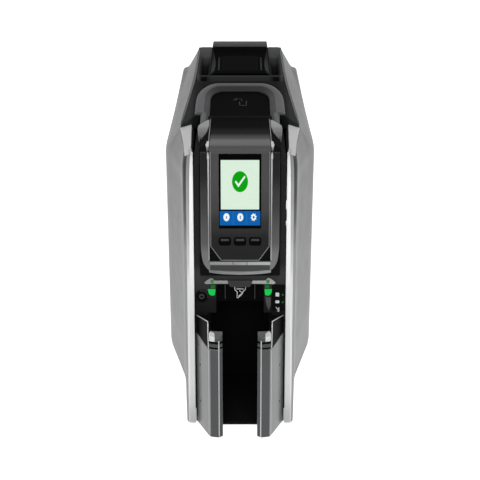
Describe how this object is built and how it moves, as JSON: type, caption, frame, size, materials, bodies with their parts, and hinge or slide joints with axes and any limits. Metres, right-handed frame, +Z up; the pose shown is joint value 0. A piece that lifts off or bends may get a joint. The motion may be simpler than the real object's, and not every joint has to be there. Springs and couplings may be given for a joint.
{
  "type": "id card printer",
  "caption": "Compact desktop card printer with a hinged cover and touch panel, an arch handle, a rear input hopper with its own lid and an open front output hopper.",
  "frame": {"origin": "centre of the footprint, on the desk", "axes": "+X to the right seen from the front, +Y to the back, +Z up"},
  "size_m": [0.157, 0.4397, 0.285],
  "materials": {
    "silver_paint": "satin silver paint on plastic",
    "black_casing": "fine-grained black plastic",
    "handle_grey": "dark grey satin plastic",
    "hopper_grey": "metallic grey plastic, smooth",
    "gloss_black": "polished black plastic",
    "bright_trim": "satin chrome trim",
    "green_light": "clear green light guide",
    "smoked": "smoked clear plastic",
    "glass": "touch glass",
    "key_black": "soft black keys",
    "steel_plate": "zinc-plated sheet steel",
    "bright_steel": "ground steel shafts and pins",
    "brass_bush": "sintered bronze and brass",
    "rubber": "black rubber",
    "roller_mix": "grey rubber on a steel shaft",
    "nylon": "natural nylon",
    "motor": "black painted motor case",
    "board_green": "circuit board",
    "socket_steel": "plated socket shell",
    "aluminium": "extruded heat sink",
    "ribbon": "wound film"
  },
  "bodies": {
    "chassis": {"base_chassis": "black_casing", "left_side_panel": "silver_paint", "right_side_panel": "silver_paint", "rear_panel": "black_casing", "front_column": "black_casing", "rear_deck": "black_casing", "slot_trim": "bright_trim", "slot_light_guides": "green_light", "status_panel": "gloss_black", "power_button_ring": "gloss_black", "mouth_liner": "black_casing", "hopper_left_wall": "hopper_grey", "hopper_right_wall": "hopper_grey", "hopper_floor": "black_casing", "left_frame_plate": "steel_plate", "right_frame_plate": "steel_plate", "frame_crossbars": "bright_steel", "card_guides": "handle_grey", "input_bin": "black_casing", "shaft_bushes": "brass_bush", "drive_belt": "rubber", "feed_motor": "motor", "ribbon_motor": "socket_steel", "main_board": "board_green", "power_inlet": "gloss_black", "usb_port": "socket_steel", "network_port": "socket_steel", "fan_frame": "black_casing", "rubber_feet": "rubber", "case_screws": "bright_steel", "hinge_pins": "bright_steel"},
    "cover": {"cover_shell": "black_casing", "cover_handle": "handle_grey", "display_panel": "gloss_black", "display_glass": "glass", "display_surround": "smoked", "display_board": "board_green", "printhead_bracket": "steel_plate"},
    "printhead": {"printhead": "aluminium"},
    "release": {"release_panel": "black_casing"},
    "latch": {"cover_latch": "steel_plate"},
    "key_left": {"menu_key_left": "key_black"},
    "key_middle": {"menu_key_middle": "key_black"},
    "key_right": {"menu_key_right": "key_black"},
    "power_key": {"power_button": "key_black"},
    "hopper_lid": {"input_hopper_cover": "black_casing"},
    "weight": {"card_weight": "handle_grey"},
    "pick": {"pick_roller": "roller_mix"},
    "feed": {"feed_roller": "roller_mix"},
    "platen": {"platen_roller": "roller_mix"},
    "exit": {"exit_roller": "roller_mix"},
    "cleaner": {"cleaning_roller": "roller_mix"},
    "feed_pinch": {"feed_pinch_roller": "roller_mix"},
    "exit_pinch": {"exit_pinch_roller": "roller_mix"},
    "supply": {"ribbon_supply_spool": "ribbon"},
    "takeup": {"ribbon_takeup_spool": "ribbon"},
    "idler": {"idler_gear": "nylon"},
    "pinion": {"motor_pinion": "brass_bush"},
    "ribbon_drive": {"ribbon_pinion": "brass_bush"},
    "fan": {"fan_rotor": "black_casing"}
  },
  "joints": [
    {"name": "cover_hinge", "type": "hinge", "parent": "chassis", "child": "cover", "pos_m": [0, 0.08, 0.262], "axis": [-1, 0, 0], "range_deg": [0, 75]},
    {"name": "printhead_pivot", "type": "hinge", "parent": "cover", "child": "printhead", "pos_m": [0, 0, 0.1439], "axis": [1, 0, 0], "range_deg": [0, 3], "stiffness_Nm_per_rad": 2},
    {"name": "release_press", "type": "slide", "parent": "cover", "child": "release", "axis": [0, 0, -1], "range_m": [0, 0.003], "stiffness_N_per_m": 2500},
    {"name": "latch_pivot", "type": "hinge", "parent": "cover", "child": "latch", "pos_m": [0, -0.124, 0.2139], "axis": [-1, 0, 0], "range_deg": [0, 2.5]},
    {"name": "key_left_press", "type": "slide", "parent": "cover", "child": "key_left", "axis": [0, 0.9864, -0.1644], "range_m": [0, 0.0008], "stiffness_N_per_m": 400},
    {"name": "key_middle_press", "type": "slide", "parent": "cover", "child": "key_middle", "axis": [0, 0.9864, -0.1644], "range_m": [0, 0.0008], "stiffness_N_per_m": 400},
    {"name": "key_right_press", "type": "slide", "parent": "cover", "child": "key_right", "axis": [0, 0.9864, -0.1644], "range_m": [0, 0.0008], "stiffness_N_per_m": 400},
    {"name": "power_press", "type": "slide", "parent": "chassis", "child": "power_key", "axis": [0, 0.9864, -0.1644], "range_m": [0, 0.0008], "stiffness_N_per_m": 400},
    {"name": "hopper_lid_hinge", "type": "hinge", "parent": "chassis", "child": "hopper_lid", "pos_m": [0, 0.211, 0.271], "axis": [-1, 0, 0], "range_deg": [0, 95]},
    {"name": "weight_slide", "type": "slide", "parent": "chassis", "child": "weight", "axis": [0, 0, 1], "range_m": [0, 0.1]},
    {"name": "feed_spin", "type": "hinge", "parent": "chassis", "child": "feed", "pos_m": [0, 0.06, 0.1059], "axis": [1, 0, 0], "continuous": true},
    {"name": "platen_spin", "type": "hinge", "parent": "chassis", "child": "platen", "pos_m": [0, 0, 0.1059], "axis": [1, 0, 0], "continuous": true},
    {"name": "exit_spin", "type": "hinge", "parent": "chassis", "child": "exit", "pos_m": [0, -0.092, 0.1059], "axis": [1, 0, 0], "continuous": true},
    {"name": "pick_spin", "type": "hinge", "parent": "chassis", "child": "pick", "pos_m": [0, 0.1152, 0.1059], "axis": [1, 0, 0], "continuous": true},
    {"name": "idler_spin", "type": "hinge", "parent": "chassis", "child": "idler", "pos_m": [0, 0.0936, 0.1059], "axis": [1, 0, 0], "continuous": true},
    {"name": "pinion_spin", "type": "hinge", "parent": "chassis", "child": "pinion", "pos_m": [0, 0.06, 0.0755], "axis": [1, 0, 0], "continuous": true},
    {"name": "cleaner_spin", "type": "hinge", "parent": "chassis", "child": "cleaner", "pos_m": [0, 0.081, 0.1204], "axis": [1, 0, 0], "continuous": true},
    {"name": "feed_pinch_spin", "type": "hinge", "parent": "chassis", "child": "feed_pinch", "pos_m": [0, 0.06, 0.1194], "axis": [1, 0, 0], "continuous": true},
    {"name": "exit_pinch_spin", "type": "hinge", "parent": "chassis", "child": "exit_pinch", "pos_m": [0, -0.092, 0.1194], "axis": [1, 0, 0], "continuous": true},
    {"name": "supply_spin", "type": "hinge", "parent": "chassis", "child": "supply", "pos_m": [0, 0.04, 0.1759], "axis": [1, 0, 0], "continuous": true},
    {"name": "takeup_spin", "type": "hinge", "parent": "chassis", "child": "takeup", "pos_m": [0, -0.086, 0.1719], "axis": [1, 0, 0], "continuous": true},
    {"name": "ribbon_drive_spin", "type": "hinge", "parent": "chassis", "child": "ribbon_drive", "pos_m": [0, -0.086, 0.1471], "axis": [1, 0, 0], "continuous": true},
    {"name": "fan_spin", "type": "hinge", "parent": "chassis", "child": "fan", "pos_m": [0, 0.2047, 0.05695], "axis": [0, 1, 0], "continuous": true}
  ],
  "couplings": [
    {"joint": "latch_pivot", "follows": "release_press", "rad_per_m": 11.765},
    {"joint": "platen_spin", "follows": "feed_spin", "ratio": 1},
    {"joint": "exit_spin", "follows": "feed_spin", "ratio": 1},
    {"joint": "idler_spin", "follows": "feed_spin", "ratio": -2.5},
    {"joint": "pick_spin", "follows": "feed_spin", "ratio": 2},
    {"joint": "pinion_spin", "follows": "feed_spin", "ratio": -3.75},
    {"joint": "ribbon_drive_spin", "follows": "takeup_spin", "ratio": -4.1667}
  ]
}
